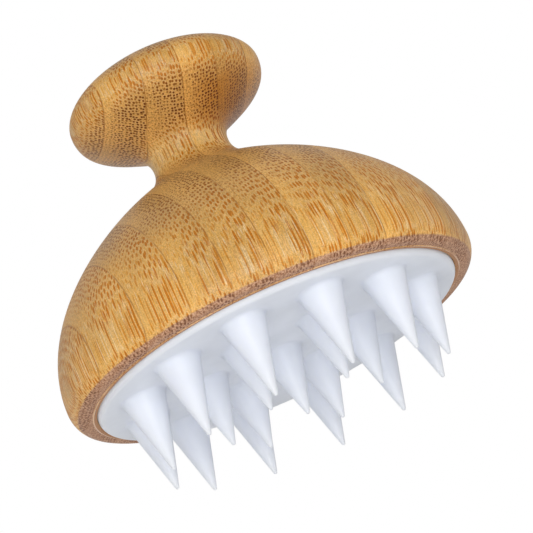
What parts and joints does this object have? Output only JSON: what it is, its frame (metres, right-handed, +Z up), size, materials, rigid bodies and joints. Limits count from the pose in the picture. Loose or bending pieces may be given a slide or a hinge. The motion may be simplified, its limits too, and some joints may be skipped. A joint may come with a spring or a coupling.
{
  "type": "scalp massager brush",
  "caption": "Palm-held scalp massager brush: a turned mushroom-shaped laminated bamboo handle with a pull-out soft silicone pad of pointed bristles in its underside.",
  "frame": {"origin": "on the centre axis of the brush, level with the tips of the outer bristles, on which it stands", "axes": "+Z up along the axis towards the knob; +X across the glued bamboo strips; +Y along the strips' faces"},
  "size_m": [0.09, 0.09, 0.0865],
  "materials": {
    "bamboo": "satin lacquer",
    "silicone": "soft satin"
  },
  "bodies": {
    "handle": {"left_strip_6": "bamboo", "left_strip_5": "bamboo", "left_strip_4": "bamboo", "left_strip_3": "bamboo", "left_strip_2": "bamboo", "left_strip_1": "bamboo", "right_strip_1": "bamboo", "right_strip_2": "bamboo", "right_strip_3": "bamboo", "right_strip_4": "bamboo", "right_strip_5": "bamboo", "right_strip_6": "bamboo", "left_knob_strip_3": "bamboo", "left_knob_strip_2": "bamboo", "right_knob_strip_3": "bamboo"},
    "pad": {"pad": "silicone", "outer_bristle_1": "silicone", "outer_bristle_2": "silicone", "outer_bristle_3": "silicone", "outer_bristle_4": "silicone", "outer_bristle_5": "silicone", "outer_bristle_6": "silicone", "outer_bristle_7": "silicone", "outer_bristle_8": "silicone", "outer_bristle_9": "silicone", "outer_bristle_10": "silicone", "outer_bristle_11": "silicone", "outer_bristle_12": "silicone", "inner_bristle_1": "silicone", "inner_bristle_2": "silicone", "inner_bristle_3": "silicone", "inner_bristle_4": "silicone", "inner_bristle_5": "silicone", "inner_bristle_6": "silicone", "centre_bristle": "silicone"}
  },
  "joints": [
    {"name": "pad_pull", "type": "slide", "parent": "handle", "child": "pad", "axis": [0, 0, -1], "range_m": [0, 0.012]}
  ]
}
